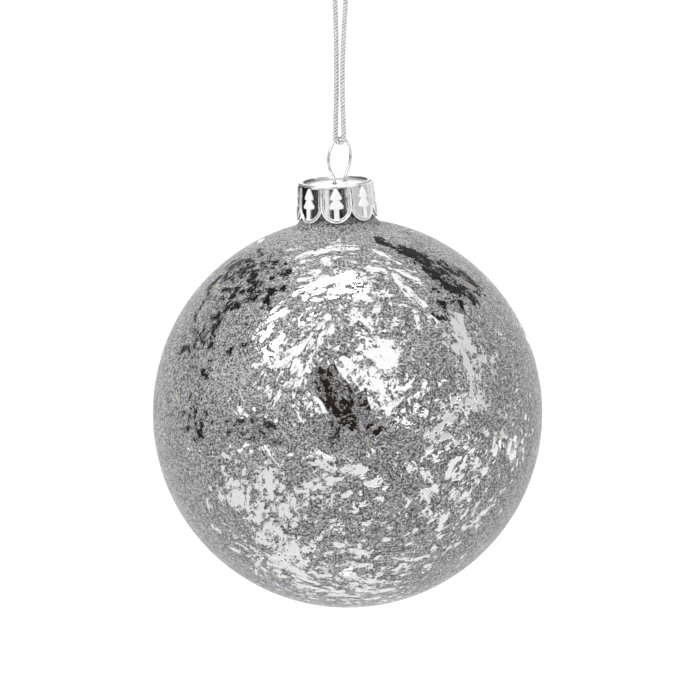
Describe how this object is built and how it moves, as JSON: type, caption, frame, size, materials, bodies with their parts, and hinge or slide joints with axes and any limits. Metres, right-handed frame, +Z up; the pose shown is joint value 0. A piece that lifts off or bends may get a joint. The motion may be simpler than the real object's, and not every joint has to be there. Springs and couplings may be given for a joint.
{
  "type": "glass ball ornament",
  "caption": "Hollow silvered glass ball with a worn frosted coat, a stamped petal cap, a sprung wire ring and a cord loop to hang it by.",
  "frame": {"origin": "the hang point, inside the top of the cord loop, where a hook bears", "axes": "+Z up along the plumb cord; -Y is the side that faces the viewer; +X is to the viewer's right; the ball and cap lean about 3 degrees towards -X at the top"},
  "size_m": [0.0799, 0.08, 0.1585],
  "materials": {
    "silvered_glass": "silvered mirror under a worn grey frosted coat",
    "bright_tin": "bright stamped tin plate",
    "bright_wire": "bright drawn wire",
    "metallic_cord": "twisted silver metallic thread"
  },
  "bodies": {
    "cord_top": {"cord_left_strand": "metallic_cord", "cord_right_strand": "metallic_cord", "cord_knot": "metallic_cord"},
    "cord_end": {"cord_bight": "metallic_cord"},
    "hanger": {"hanger_wire": "bright_wire"},
    "ball_cap": {"cap": "bright_tin"},
    "ball": {"glass_ball": "silvered_glass"}
  },
  "joints": [
    {"name": "twirl", "type": "hinge", "parent": "cord_top", "child": "cord_end", "pos_m": [0, 0, -0.036], "axis": [0, 0, 1], "range_deg": [-180, 180]},
    {"name": "swing", "type": "hinge", "parent": "cord_end", "child": "hanger", "pos_m": [0, 0, -0.05438], "axis": [0.8434, -0.5373, 0], "range_deg": [-60, 60]},
    {"name": "hanger_lift", "type": "slide", "parent": "hanger", "child": "ball_cap", "axis": [0, 0, -1], "range_m": [0, 0.0035]},
    {"name": "cap_pull", "type": "slide", "parent": "ball_cap", "child": "ball", "axis": [0.0516, 0, -0.9987], "range_m": [0, 0.02]}
  ]
}
